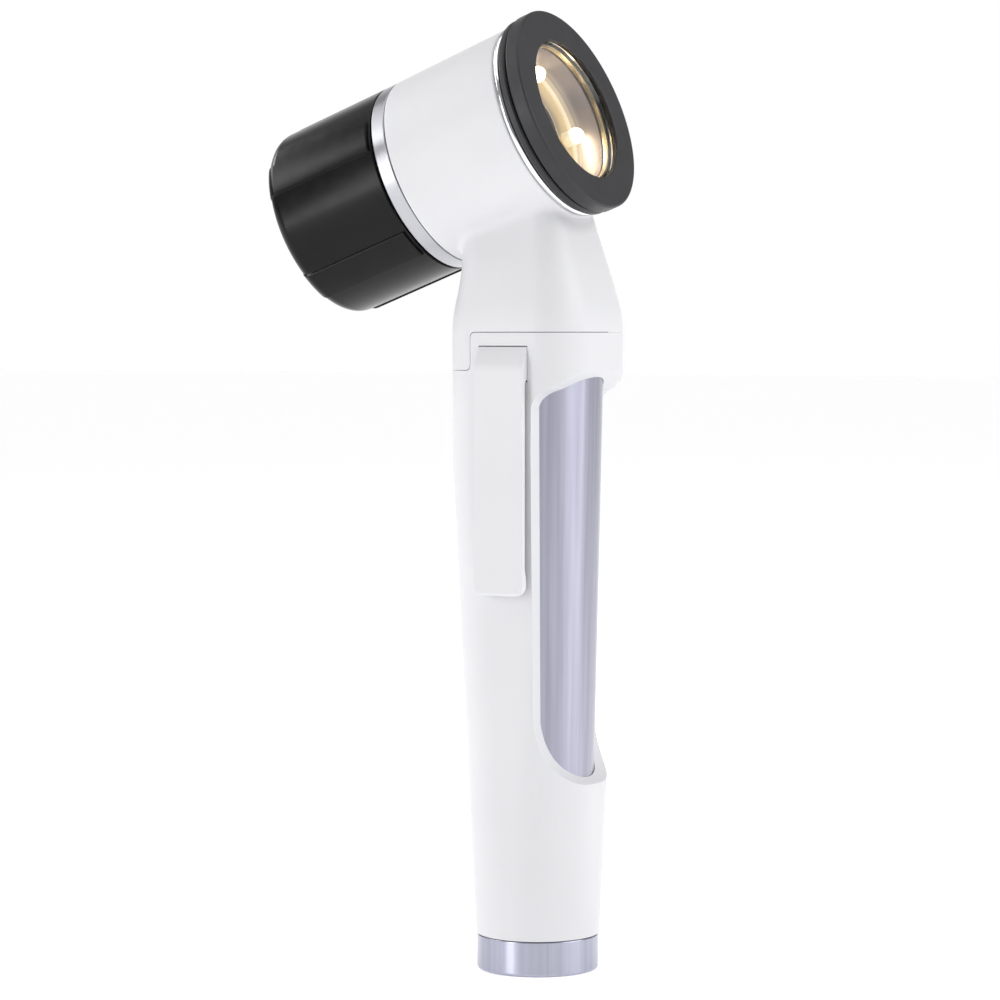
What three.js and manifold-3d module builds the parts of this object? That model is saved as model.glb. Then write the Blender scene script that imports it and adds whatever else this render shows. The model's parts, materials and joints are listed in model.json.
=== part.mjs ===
// A pocket skin magnifier with its own light: a two-cell battery handle with a
// pocket clip, and a short tilted head with a focusing ring at the eye end and
// a removable contact ring with a glass at the skin end.
//
// Millimetres, +Z up the handle, +X towards the contact ring. The origin is the
// centre of the end cap's flat bottom. The object is symmetrical about the XZ
// plane, but for the clip, which is on the -Y side.

import * as THREE from 'three';
import { mergeVertices } from 'three/addons/utils/BufferGeometryUtils.js';
import Module from 'manifold-3d';

const wasm = await Module();
wasm.setup();

// ---------------------------------------------------------------- dimensions

const GAP = 0.3; // running and resting clearance between two pieces
const DEGREE = Math.PI / 180;

const ROUND = 40; // sides of the rings that show
const INNER = 18; // sides of the round pieces inside

// Handle
const CAP_TOP = 6.5;
const CAP_RADIUS = 11.35;
const CAP_EDGE = 0.55; // rounding of the cap's foot
const CAP_NECK = { radius: 8.5, bore: 7.7, top: 12.5, floor: 4.9 };
const CASING_BOTTOM = CAP_TOP + GAP;
const CASING_BOTTOM_RADIUS = 11.55;
const CASING_SQUARE_FROM = 97; // above this height the casing keeps its section
const CASING_HALF = 13.8; // half width of the rounded square section
const CASING_CORNER = 8;
const PARTING = 118.7; // height of the joint between head and handle
const TONGUE_BOTTOM = 111.7; // the head reaches down to here at the back
const TONGUE_FRONT = -6.8;
const SHELL_WALL = 1.8;

// Battery barrel, a slightly conical aluminium tube that shows in the window
const BARREL_BOTTOM = 9.5;
const BARREL_TOP = 109.5;
const BARREL_FRONT_TOP = 112.1; // the front rises behind the window's arch
const BARREL_TOP_RADIUS = 12.07;
const BARREL_SLOPE = 0.0217;
const BARREL_WALL = 1.1;
const LINER = { bore: 7.6, radius: 8.35, bottom: 13.3 };

// Two AA cells
const CELL_RADIUS = 7.25;
const CELL_BODY = 49.2;
const CELL_NUB = { radius: 2.75, height: 1.2 };
const CELLS_BOTTOM = 12;

// Socket above the barrel, where the head plugs in
const SOCKET_BOTTOM = BARREL_TOP + GAP;
const SOCKET_HALF = 11.6;
const SOCKET_CORNER = 6;
const HOLDER = { low: 112.4, high: 115.2 };
const PLUG_BOTTOM = 116.9;
const PLUG_TOP = 124.5;

// Window in the front of the casing, drawn from the side
const WINDOW_EDGE = 5.8;
const WINDOW_SILL = 35;
const WINDOW_HIGH = 111.6;
const ARCH_FALL = 6.6; // from the window's top at the front down to the top of its side edge
const ARCH_REACH = 3.4; // from the side edge forward to where the arch becomes straight

// Pocket clip
const CLIP_HALF_WIDTH = 5;
const CLIP_TOP = 116.2;
const CLIP_RAMP_END = 112.4;
const CLIP_BOTTOM = 70.6;
const CLIP_OUTER = -15.8;
const CLIP_THICKNESS = 1.2;
const CLIP_PIVOT = { y: -12.75, z: 111.5 };
const CLIP_ROOT = { y: -11.7, low: 109.95, step: 112.3 };
const CLIP_PIN = { radius: 0.4, halfLength: 6.8 };
const SWITCH_HEIGHT = 115;
const SWITCH_BUTTON = { radius: 1.1, outer: -12.5, inner: -10.2 };

// Head: its axis crosses the handle's axis and rises towards the front
const HEAD_TILT = 20.7 * DEGREE;
const HEAD_HEIGHT = 156.7;
// Places along the head's axis, positive towards the skin
const FOCUS_REAR = -49.8;
const BAND_REAR = -25.2;
const SHELL_REAR = -22;
const SHELL_FRONT = 2.6;
const BEAD_FRONT = 3.95;
const SEAT_FRONT = 5.7;
const CONTACT_FACE = 8.75;
const GLASS_FRONT = 7.5;
// Radii
const SHELL_REAR_RADIUS = 18.35;
const SHELL_FRONT_RADIUS = 18.65;
const SHELL_BORE = 16.4;
const SPIGOT_RADIUS = SHELL_BORE - 0.35; // of the band and the seat, inside the shell
const SPIGOT_REAR_END = -17;
const BAND_RADIUS = 18.3;
const SEAT_RADIUS = 19.3;
const CONTACT_RADIUS = 19.5;
const APERTURE_RADIUS = 13.5;
const SEAT_BORE = 15.4;
const SEAT_REAR = -2.4;
const CONTACT_SPIGOT = { radius: 15.05, bore: 14.15, end: 1.4 };
const FOCUS_RADIUS = 18.25;
const RIB_HEIGHT = 0.55;
const RIB_COUNT = 5;
const RIB_WIDTH = 20 * DEGREE;
const RIB_FIRST = 29 * DEGREE;
const FOCUS_EDGE = 2.4; // rounding of the focusing ring's eye end
const FOCUS_BORE = 14.4;
const EYE_STOP = { radius: 11.4, rim: 13.2, rear: -45.6, front: -44.7 };
const RELIEF = { radius: 16.2, rear: -42.8, front: -27.2 }; // saves weight, clears the cam pins

// Optics
const INNER_BARREL_RADIUS = 14.1;
const INNER_BARREL_BORE = 12.9;
const INNER_BARREL_REAR = -44;
const CARRIER = { radius: 12.6, bore: 11.25, lip: 9.8, rear: -34, front: -12 };
const LENS_RADIUS = 10.9;
const LENS_FRONT = { low: -18.4, high: -14.3 };
const LENS_REAR = { low: -30.8, high: -26.7 };
const FOCUS_TRAVEL = 2; // each way from the middle
const CAM_PIN = { radius: 1, place: -32, inner: 11.35, outer: 14.9 };
const CAM_REACH = FOCUS_TRAVEL + CAM_PIN.radius + 2 * GAP; // half the room a cam pin needs
const GLASS = { radius: 13.85, thickness: 1.3 };
const GLASS_REAR = GLASS_FRONT - GLASS.thickness;
const RETAINER = { bore: 13.2, rear: 4.9 };
const LED_PLANE = -0.9; // the lamps and the light cone stand on the board here
const LED_BOARD = { bore: 8, radius: 15, thickness: 1.2 };
const LED_CIRCLE = 9.9;
const LED_RADIUS = 1.5;
const LED_NECK = 1.4; // where a lamp's dome begins
const LED_FIRST = -13 * DEGREE;

// ------------------------------------------------------------------ finishes

const finish = (color, roughness, metalness = 0) => ({ color, roughness, metalness });
const WHITE_PLASTIC = finish('#e9e9ec', 0.35);
const BLACK_PLASTIC = finish('#2b2b2f', 0.45);
const BLACK_RUBBER = finish('#1c1c1e', 0.8);
const SATIN_ALUMINIUM = finish('#b9bccb', 0.3, 1);
const CHROME = finish('#e4e6ea', 0.08, 1);
const NICKEL_STEEL = finish('#c3c3c0', 0.3, 1);
const BRASS = finish('#c9a659', 0.3, 1);
const GREY_PLASTIC = finish('#8d8d93', 0.5);
const CELL_SLEEVE = finish('#3c5a46', 0.4);
const BOARD = finish('#e8e6da', 0.6);
const CLEAR_GLASS = finish('#dfe7ea', 0.05);
const LAMP = finish('#fff3cf', 0.2);

// ------------------------------------------------------------- shape helpers

/** Joins doubled vertices, drops flat triangles and turns the faces outward. */
function closed(geometry) {
  const bare = geometry.clone();
  for (const name of Object.keys(bare.attributes)) {
    if (name !== 'position') bare.deleteAttribute(name);
  }
  const merged = mergeVertices(bare, 1e-4);
  const { position } = merged.attributes;
  const triangles = [];
  let volume = 0;
  const corners = [new THREE.Vector3(), new THREE.Vector3(), new THREE.Vector3()];
  for (let i = 0; i < merged.index.count; i += 3) {
    const ids = [0, 1, 2].map((k) => merged.index.getX(i + k));
    if (new Set(ids).size < 3) continue;
    corners.forEach((corner, k) => corner.fromBufferAttribute(position, ids[k]));
    volume += corners[0].dot(corners[1].clone().cross(corners[2])) / 6;
    triangles.push(ids);
  }
  if (volume < 0) triangles.forEach((ids) => ids.reverse());
  merged.setIndex(triangles.flat());
  return merged;
}

/** A geometry as a manifold-3d solid. */
function toSolid(geometry) {
  const body = closed(geometry);
  return new wasm.Manifold(
    new wasm.Mesh({
      numProp: 3,
      vertProperties: new Float32Array(body.attributes.position.array),
      triVerts: new Uint32Array(body.index.array),
    }),
  );
}

/** A manifold-3d solid as a geometry. */
function toGeometry(body) {
  const mesh = body.getMesh();
  const geometry = new THREE.BufferGeometry();
  geometry.setAttribute('position', new THREE.BufferAttribute(mesh.vertProperties, 3));
  geometry.setIndex(new THREE.BufferAttribute(mesh.triVerts, 1));
  return geometry;
}

/** One geometry with the others cut away. */
function cut(geometry, ...tools) {
  return toGeometry(tools.reduce((body, tool) => body.subtract(toSolid(tool)), toSolid(geometry)));
}

/** Several geometries as one body. */
function join(geometry, ...others) {
  return toGeometry(others.reduce((body, other) => body.add(toSolid(other)), toSolid(geometry)));
}

/** A turned body about +Z. The points are [radius, height]; a ring closes on itself. */
function turned(points, sides = ROUND) {
  const outline = points.map(([radius, height]) => new THREE.Vector2(radius, height));
  const onAxis = points[0][0] === 0 && points.at(-1)[0] === 0;
  if (!onAxis) outline.push(outline[0].clone());
  return closed(new THREE.LatheGeometry(outline, sides).rotateX(Math.PI / 2));
}

/** A plain tube or ring about +Z. */
const tube = (inner, outer, low, high, sides = INNER) =>
  turned([[inner, low], [outer, low], [outer, high], [inner, high]], sides);

/** A plain rod about +Z. */
const rod = (radius, low, high, sides = INNER) =>
  turned([[0, low], [radius, low], [radius, high], [0, high]], sides);

/** A box given by its lowest and highest corners. */
function box([x0, y0, z0], [x1, y1, z1]) {
  const geometry = new THREE.BoxGeometry(x1 - x0, y1 - y0, z1 - z0);
  return closed(geometry.translate((x0 + x1) / 2, (y0 + y1) / 2, (z0 + z1) / 2));
}

/** A rod along X through a point of the YZ plane. */
const crossPin = (radius, halfLength, { y, z }) =>
  rod(radius, -halfLength, halfLength, 12).rotateY(Math.PI / 2).translate(0, y, z);

/** A level rounded rectangle, as a ring of points at one height. */
function section(height, { back, front, half, corner }, steps = 8) {
  const centres = [
    [front - corner, half - corner],
    [back + corner, half - corner],
    [back + corner, corner - half],
    [front - corner, corner - half],
  ];
  const ring = [];
  centres.forEach(([x, y], quarter) => {
    for (let i = 0; i <= steps; i += 1) {
      const angle = (quarter + i / steps) * (Math.PI / 2);
      ring.push(new THREE.Vector3(x + corner * Math.cos(angle), y + corner * Math.sin(angle), height));
    }
  });
  return ring;
}

/** A level rounded square about the handle's axis. */
const squareSection = (height, half, corner, steps) =>
  section(height, { back: -half, front: half, half, corner }, steps);

/** A closed body through level rings of points, lowest first. */
function loft(rings) {
  const count = rings[0].length;
  const points = rings.flat();
  const index = [];
  for (let level = 0; level < rings.length - 1; level += 1) {
    for (let i = 0; i < count; i += 1) {
      const a = level * count + i;
      const b = level * count + ((i + 1) % count);
      index.push(a, b, b + count, a, b + count, a + count);
    }
  }
  for (const level of [0, rings.length - 1]) {
    const middle = new THREE.Vector3();
    rings[level].forEach((point) => middle.addScaledVector(point, 1 / count));
    const centre = points.push(middle) - 1;
    for (let i = 0; i < count; i += 1) {
      const a = level * count + i;
      const b = level * count + ((i + 1) % count);
      index.push(...(level === 0 ? [b, a, centre] : [a, b, centre]));
    }
  }
  const geometry = new THREE.BufferGeometry().setFromPoints(points);
  geometry.setIndex(index);
  return closed(geometry);
}

/** A side outline, drawn in X and Z, run across the object from -Y to +Y. */
function acrossY(shape, halfWidth, curveSegments = 8) {
  const depth = 2 * halfWidth;
  const geometry = new THREE.ExtrudeGeometry(shape, { depth, bevelEnabled: false, curveSegments });
  return closed(geometry.rotateX(Math.PI / 2).translate(0, halfWidth, 0));
}

/** An outline, drawn in Y and Z, run across the object from -X to +X. */
function acrossX(shape, halfWidth, curveSegments = 6) {
  const depth = 2 * halfWidth;
  const geometry = new THREE.ExtrudeGeometry(shape, { depth, bevelEnabled: false, curveSegments });
  geometry.rotateX(Math.PI / 2).rotateZ(Math.PI / 2);
  return closed(geometry.translate(-halfWidth, 0, 0));
}

/** A named mesh of one material. */
function piece(name, geometry, look) {
  const mesh = new THREE.Mesh(geometry, new THREE.MeshStandardMaterial(look));
  mesh.geometry.computeVertexNormals();
  mesh.name = name;
  return mesh;
}

/** From the head's own frame, +Z along its axis, to the object's frame. */
const headFrame = new THREE.Matrix4()
  .makeTranslation(0, 0, HEAD_HEIGHT)
  .multiply(new THREE.Matrix4().makeRotationY(Math.PI / 2 - HEAD_TILT));

// -------------------------------------------------------------------- handle

const barrelRadius = (height) => BARREL_TOP_RADIUS - (BARREL_TOP - height) * BARREL_SLOPE;

/** The casing's section, a circle at the bottom and a rounded square at the top. */
function casingSection(height) {
  const rise = Math.min(1, (height - CASING_BOTTOM) / (CASING_SQUARE_FROM - CASING_BOTTOM));
  const half = THREE.MathUtils.lerp(CASING_BOTTOM_RADIUS, CASING_HALF, rise);
  const corner = THREE.MathUtils.lerp(CASING_BOTTOM_RADIUS - 0.01, CASING_CORNER, rise);
  return squareSection(height, half, corner);
}

/** What the window takes out of the casing: everything in front of a side outline. */
function windowTool() {
  const beyond = 20;
  const edge = WINDOW_EDGE - 0.35; // the side lips lean back a little towards the sill
  const shape = new THREE.Shape();
  shape.moveTo(edge, WINDOW_SILL + 12);
  shape.lineTo(WINDOW_EDGE, WINDOW_HIGH - ARCH_FALL);
  shape.quadraticCurveTo(
    WINDOW_EDGE + 0.4, WINDOW_HIGH - ARCH_FALL * 2 / 3,
    WINDOW_EDGE + ARCH_REACH, WINDOW_HIGH - ARCH_FALL / 2);
  shape.lineTo(CASING_HALF, WINDOW_HIGH);
  shape.lineTo(beyond, WINDOW_HIGH + 1.6);
  shape.lineTo(beyond, WINDOW_SILL - 4);
  shape.lineTo(CASING_HALF - 1, WINDOW_SILL);
  shape.quadraticCurveTo(edge + 1, WINDOW_SILL + 3.4, edge, WINDOW_SILL + 12);
  return acrossY(shape, beyond);
}

function handleCasing() {
  const top = PARTING - GAP / 2;
  const levels = [0, 0.25, 0.5, 0.75, 1].map((part) =>
    THREE.MathUtils.lerp(CASING_BOTTOM, CASING_SQUARE_FROM, part));
  const outer = loft([...levels, top].map(casingSection));
  const cavityTop = BARREL_FRONT_TOP + GAP;
  const cavity = turned([
    [0, 0],
    [barrelRadius(0) + GAP, 0],
    [barrelRadius(cavityTop) + GAP, cavityTop],
    [0, cavityTop],
  ]);
  const socket = loft([SOCKET_BOTTOM - 0.5, PARTING + 5].map((height) =>
    squareSection(height, SOCKET_HALF, SOCKET_CORNER)));
  const backStep = box([-20, -20, TONGUE_BOTTOM - GAP / 2], [TONGUE_FRONT, 20, PARTING + 5]);
  const clipSlot = box(
    [-CLIP_HALF_WIDTH - GAP, -20, CLIP_PIVOT.z - 1.9],
    [CLIP_HALF_WIDTH + GAP, -SOCKET_HALF + 1, CLIP_TOP + GAP],
  );
  const pinHole = crossPin(CLIP_PIN.radius + GAP, CLIP_PIN.halfLength + 0.4, CLIP_PIVOT);
  return cut(outer, cavity, socket, backStep, windowTool(), clipSlot, pinHole);
}

/** The barrel, with its upper rim cut down where the head's tongue and the clip's root stand. */
function batteryBarrel() {
  const low = barrelRadius(BARREL_BOTTOM);
  const high = barrelRadius(BARREL_FRONT_TOP);
  const whole = turned([
    [low - BARREL_WALL, BARREL_BOTTOM],
    [low, BARREL_BOTTOM],
    [high, BARREL_FRONT_TOP],
    [high - BARREL_WALL, BARREL_FRONT_TOP],
  ]);
  const above = BARREL_FRONT_TOP + 1;
  const behindTongue = box([-20, -20, BARREL_TOP], [TONGUE_FRONT + 2 * GAP, 20, above]);
  const besideClip = box(
    [-CLIP_HALF_WIDTH - 3 * GAP, -20, BARREL_TOP],
    [CLIP_HALF_WIDTH + 3 * GAP, 0, above],
  );
  return cut(whole, behindTongue, besideClip);
}

/** The plastic tube that guides the cells, with a collar that centres it in the barrel. */
function batteryLiner() {
  const collar = barrelRadius(BARREL_TOP) - BARREL_WALL - GAP;
  return turned([
    [LINER.bore, LINER.bottom],
    [LINER.radius, LINER.bottom],
    [LINER.radius, BARREL_TOP - 4],
    [collar, BARREL_TOP - 3],
    [collar, BARREL_TOP - GAP],
    [LINER.bore, BARREL_TOP - GAP],
  ], INNER);
}

/** One AA cell standing on its flat end. */
function cell(bottom) {
  const shoulder = bottom + CELL_BODY;
  return turned([
    [0, bottom],
    [CELL_RADIUS, bottom],
    [CELL_RADIUS, shoulder],
    [CELL_NUB.radius, shoulder],
    [CELL_NUB.radius, shoulder + CELL_NUB.height],
    [0, shoulder + CELL_NUB.height],
  ], INNER);
}

/** The holder over the cells: a plate with a skirt that stands inside the barrel's rim. */
function contactHolder() {
  const half = SOCKET_HALF - 0.4;
  const plate = loft([HOLDER.low, HOLDER.high].map((height) =>
    squareSection(height, half, SOCKET_CORNER, 5)));
  const skirt = tube(9.6, 10.6, BARREL_TOP + GAP, HOLDER.low + 0.5);
  const hole = rod(3.2, 105, 120);
  const clipSide = box([-CLIP_HALF_WIDTH - 0.9, -14, 105], [CLIP_HALF_WIDTH + 0.9, -10.9, 120]);
  const switchBay = box([-3.6, -14, 105], [3.6, -7.8, 120]);
  return cut(join(plate, skirt), hole, clipSide, switchBay);
}

/** The headed contact that carries the current up to the head. */
const topContact = () =>
  turned([[0, 113.5], [2.8, 113.5], [2.8, 115.5], [4.6, 115.5], [4.6, 116], [0, 116]], INNER);

function addHandle(group) {
  const upperCell = CELLS_BOTTOM + CELL_BODY + CELL_NUB.height + GAP;
  group.add(
    piece('handle_casing', handleCasing(), WHITE_PLASTIC),
    piece('battery_barrel', batteryBarrel(), SATIN_ALUMINIUM),
    piece('battery_liner', batteryLiner(), GREY_PLASTIC),
    piece('cell_lower', cell(CELLS_BOTTOM), CELL_SLEEVE),
    piece('cell_upper', cell(upperCell), CELL_SLEEVE),
    piece('contact_holder', contactHolder(), GREY_PLASTIC),
    piece('top_contact', topContact(), BRASS),
  );
}

// ------------------------------------------------- end cap with its contacts

/** The conical spring that presses the cells upward. */
function batterySpring() {
  const turns = 3.5;
  const low = 6.9;
  const high = 11.2;
  class Helix extends THREE.Curve {
    getPoint(t, target = new THREE.Vector3()) {
      const angle = t * turns * 2 * Math.PI;
      const radius = THREE.MathUtils.lerp(5.2, 3.4, t);
      return target.set(radius * Math.cos(angle), radius * Math.sin(angle), low + (high - low) * t);
    }
  }
  const wire = new THREE.Shape();
  wire.absarc(0, 0, 0.35, 0, 2 * Math.PI);
  const options = { steps: 42, curveSegments: 3, bevelEnabled: false, extrudePath: new Helix() };
  return closed(new THREE.ExtrudeGeometry(wire, options));
}

/** The screwed cap with its threaded neck. */
const endCap = () =>
  turned([
    [0, 0],
    [CAP_RADIUS - CAP_EDGE, 0],
    [CAP_RADIUS - 0.3 * CAP_EDGE, 0.3 * CAP_EDGE],
    [CAP_RADIUS, CAP_EDGE],
    [CAP_RADIUS, CAP_TOP],
    [CAP_NECK.radius, CAP_TOP],
    [CAP_NECK.radius, CAP_NECK.top],
    [CAP_NECK.bore, CAP_NECK.top],
    [CAP_NECK.bore, CAP_NECK.floor],
    [0, CAP_NECK.floor],
  ]);

function addEndCap(group) {
  const low = CAP_NECK.floor + GAP;
  const plate = turned([
    [0, low],
    [CAP_NECK.bore - 0.4, low],
    [CAP_NECK.bore - 0.4, low + 1],
    [2, low + 1],
    [2, low + 2.2],
    [0, low + 2.2],
  ], INNER);
  const seal = new THREE.TorusGeometry(CAP_NECK.radius + 0.7, 0.38, 8, INNER);
  group.add(
    piece('contact_plate', plate, BRASS),
    piece('battery_spring', batterySpring(), NICKEL_STEEL),
    piece('end_cap', endCap(), SATIN_ALUMINIUM),
    piece('cap_seal', closed(seal.translate(0, 0, CAP_TOP + 0.8)), BLACK_RUBBER),
  );
}

// ----------------------------------------------------- pocket clip and switch

/** The clip, drawn from the end: a ramp at the top, a long arm and a root with the pivot. */
function pocketClip() {
  const inner = CLIP_OUTER + CLIP_THICKNESS;
  const shape = new THREE.Shape();
  shape.moveTo(-CASING_HALF, CLIP_TOP);
  shape.lineTo(CLIP_OUTER, CLIP_RAMP_END);
  shape.lineTo(CLIP_OUTER, CLIP_BOTTOM + 1);
  shape.quadraticCurveTo(CLIP_OUTER, CLIP_BOTTOM, CLIP_OUTER + 0.6, CLIP_BOTTOM);
  shape.lineTo(inner + 0.2, CLIP_BOTTOM);
  shape.quadraticCurveTo(inner + 0.9, CLIP_BOTTOM + 2.4, inner, CLIP_BOTTOM + 5);
  shape.lineTo(inner, CLIP_ROOT.low - 0.75);
  shape.lineTo(inner + 0.5, CLIP_ROOT.low);
  shape.lineTo(CLIP_ROOT.y, CLIP_ROOT.low);
  shape.lineTo(CLIP_ROOT.y, CLIP_ROOT.step);
  shape.lineTo(CLIP_ROOT.y - CLIP_THICKNESS, CLIP_ROOT.step + 0.4);
  shape.lineTo(CLIP_ROOT.y - CLIP_THICKNESS, CLIP_TOP);
  const blank = acrossX(shape, CLIP_HALF_WIDTH);
  const bore = crossPin(CLIP_PIN.radius + GAP, CLIP_HALF_WIDTH + 1, CLIP_PIVOT);
  return cut(blank, bore);
}

/** The push button of the switch behind the clip's upper end. */
const switchPlunger = () =>
  rod(SWITCH_BUTTON.radius, SWITCH_BUTTON.outer, SWITCH_BUTTON.inner, 12)
    .rotateX(-Math.PI / 2)
    .translate(0, 0, SWITCH_HEIGHT);

/** The switch, with the hole that its button goes into. */
function switchBody() {
  const housing = box([-3.2, -10.6, 112.8], [3.2, -8.2, 116.5]);
  const hole = rod(SWITCH_BUTTON.radius + GAP, -12, SWITCH_BUTTON.inner + 0.8, 12);
  return cut(housing, hole.rotateX(-Math.PI / 2).translate(0, 0, SWITCH_HEIGHT));
}

/** The bowed leaf spring that pushes the clip's upper end outward. */
function clipSpring() {
  const bow = new THREE.Shape();
  bow.moveTo(-4.2, -10.95);
  bow.quadraticCurveTo(0, -14, 4.2, -10.95);
  bow.lineTo(3.8, -10.95);
  bow.quadraticCurveTo(0, -13.4, -3.8, -10.95);
  const strip = new THREE.ExtrudeGeometry(bow, { depth: 0.5, bevelEnabled: false, curveSegments: 8 });
  return closed(strip.translate(0, 0, 113.05));
}

function addClip(group) {
  group.add(
    piece('pocket_clip', pocketClip(), WHITE_PLASTIC),
    piece('clip_pin', crossPin(CLIP_PIN.radius, CLIP_PIN.halfLength, CLIP_PIVOT), NICKEL_STEEL),
    piece('switch_plunger', switchPlunger(), BLACK_PLASTIC),
    piece('switch_body', switchBody(), GREY_PLASTIC),
    piece('clip_spring', clipSpring(), NICKEL_STEEL),
  );
}

// ------------------------------------------------------------ head, from here
// on the pieces are drawn in the head's own frame: +Z along its axis to the
// skin, +X square to it and downward.

/** The head's outer form: the neck that grows out of the handle, and the round shell. */
function housingOutside() {
  const neck = loft([
    squareSection(TONGUE_BOTTOM + GAP / 2, CASING_HALF, CASING_CORNER),
    squareSection(121.4, CASING_HALF, CASING_CORNER),
    section(126, { back: -12.7, front: 12.5, half: 12.8, corner: 7 }),
    section(131, { back: -12, front: 11, half: 11.7, corner: 6 }),
    section(136, { back: -12.4, front: 9.6, half: 10.4, corner: 5.4 }),
    section(140.4, { back: -13.2, front: 8.2, half: 9.6, corner: 4.4 }),
    section(152, { back: -14.5, front: 3.2, half: 9.2, corner: 4 }),
  ]);
  const shell = turned([
    [0, SHELL_REAR + GAP / 2],
    [SHELL_REAR_RADIUS - 0.2, SHELL_REAR + GAP / 2],
    [SHELL_REAR_RADIUS, SHELL_REAR + GAP / 2 + 0.3],
    [SHELL_FRONT_RADIUS, SHELL_FRONT - GAP / 2],
    [0, SHELL_FRONT - GAP / 2],
  ]);
  return join(neck, shell.applyMatrix4(headFrame));
}

function headHousing() {
  const inset = (half, corner) => [half - SHELL_WALL, corner - SHELL_WALL];
  const neckHollow = loft([
    squareSection(TONGUE_BOTTOM - 3, ...inset(CASING_HALF, CASING_CORNER)),
    squareSection(121.4, ...inset(CASING_HALF, CASING_CORNER)),
    section(131, { back: -10.2, front: 9.1, half: 9.9, corner: 4.2 }),
    section(140.4, { back: -11.2, front: 6.4, half: 7.8, corner: 2.6 }),
    section(148, { back: -11.5, front: 3, half: 7.6, corner: 2.4 }),
  ]);
  const bore = rod(SHELL_BORE, -40, 20, ROUND).applyMatrix4(headFrame);
  const frontStep = box([TONGUE_FRONT - GAP, -20, 90], [20, 20, PARTING + GAP / 2]);
  return cut(housingOutside(), neckHollow, bore, frontStep);
}

/** The plug that centres the head in the handle's socket. */
function neckPlug() {
  const half = SOCKET_HALF - 0.35;
  const block = loft([PLUG_BOTTOM, PLUG_TOP - 3].map((height) =>
    squareSection(height, half, SOCKET_CORNER)));
  const stem = loft([PLUG_TOP - 3.5, PLUG_TOP].map((height) => squareSection(height, 7, 2)));
  return cut(join(block, stem), rod(1.8, 100, 140));
}

const contactPin = () =>
  turned([
    [0, 116.3],
    [0.9, 116.3],
    [1.4, 117],
    [1.4, PLUG_TOP + GAP],
    [2.6, PLUG_TOP + GAP],
    [2.6, PLUG_TOP + 1],
    [0, PLUG_TOP + 1],
  ], INNER);

/** The driver board with its coil and chip. */
function driverBoard() {
  const board = box([-0.6, -6, 126.2], [0.6, 6, 137]);
  const chip = box([-2.2, -2, 128], [-0.5, 2, 132]);
  const coil = box([0.5, -2.4, 129], [3, 2.4, 134]);
  return join(board, chip, coil);
}

/** The silver band with the spigot that holds it in the shell. */
const trimBand = () =>
  turned([
    [FOCUS_BORE, BAND_REAR + GAP / 2],
    [BAND_RADIUS - 0.25, BAND_REAR + GAP / 2],
    [BAND_RADIUS, BAND_REAR + GAP / 2 + 0.25],
    [BAND_RADIUS, SHELL_REAR - GAP / 2],
    [SPIGOT_RADIUS, SHELL_REAR - GAP / 2],
    [SPIGOT_RADIUS, SPIGOT_REAR_END],
    [FOCUS_BORE, SPIGOT_REAR_END],
  ]);

/** The tube that the lens carrier slides in and the focusing ring turns on. */
function innerBarrel() {
  const front = LED_PLANE - GAP - LED_BOARD.thickness - GAP;
  const sleeve = tube(INNER_BARREL_BORE, INNER_BARREL_RADIUS, INNER_BARREL_REAR, front, ROUND);
  const halfWidth = CAM_PIN.radius + GAP;
  const slots = [0, Math.PI].map((turn) =>
    box([11, -halfWidth, -CAM_REACH + CAM_PIN.place], [16, halfWidth, CAM_REACH + CAM_PIN.place])
      .rotateZ(turn));
  return cut(sleeve, ...slots);
}

/** The thin bright bead between the shell and the black seat. */
const trimBead = () =>
  turned([
    [SHELL_BORE, SHELL_FRONT + GAP / 2],
    [SHELL_FRONT_RADIUS, SHELL_FRONT + GAP / 2],
    [SHELL_FRONT_RADIUS + 0.3, (SHELL_FRONT + BEAD_FRONT) / 2],
    [SHELL_FRONT_RADIUS, BEAD_FRONT - GAP / 2],
    [SHELL_BORE, BEAD_FRONT - GAP / 2],
  ]);

const ringSeat = () =>
  turned([
    [SEAT_BORE, SEAT_REAR],
    [SPIGOT_RADIUS, SEAT_REAR],
    [SPIGOT_RADIUS, BEAD_FRONT + GAP / 2],
    [SEAT_RADIUS - 0.3, BEAD_FRONT + GAP / 2],
    [SEAT_RADIUS, BEAD_FRONT + GAP / 2 + 0.4],
    [SEAT_RADIUS, SEAT_FRONT - GAP / 2 - 0.3],
    [SEAT_RADIUS - 0.3, SEAT_FRONT - GAP / 2],
    [SEAT_BORE, SEAT_FRONT - GAP / 2],
  ]);

/** The satin cone that throws the light forward. */
const lightCone = () =>
  turned([
    [11.8, LED_PLANE],
    [LED_BOARD.radius, LED_PLANE],
    [LED_BOARD.radius, LED_PLANE + 1.3],
    [13.8, LED_PLANE + 1.3],
    [13.8, RETAINER.rear - GAP],
    [13.3, RETAINER.rear - GAP],
  ], ROUND);

const ledBoard = () => {
  const front = LED_PLANE - GAP;
  return tube(LED_BOARD.bore, LED_BOARD.radius, front - LED_BOARD.thickness, front, ROUND);
};

/** A lamp on the light ring: a short cylinder with a domed front. */
function led(angle) {
  const dome = [0, 30, 60, 90].map((step) =>
    [LED_RADIUS * Math.cos(step * DEGREE), LED_NECK + LED_RADIUS * Math.sin(step * DEGREE)]);
  dome[3][0] = 0;
  const lamp = turned([[0, LED_PLANE], [LED_RADIUS, LED_PLANE], ...dome], 16);
  return lamp.translate(LED_CIRCLE * Math.cos(angle), LED_CIRCLE * Math.sin(angle), 0);
}

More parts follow.
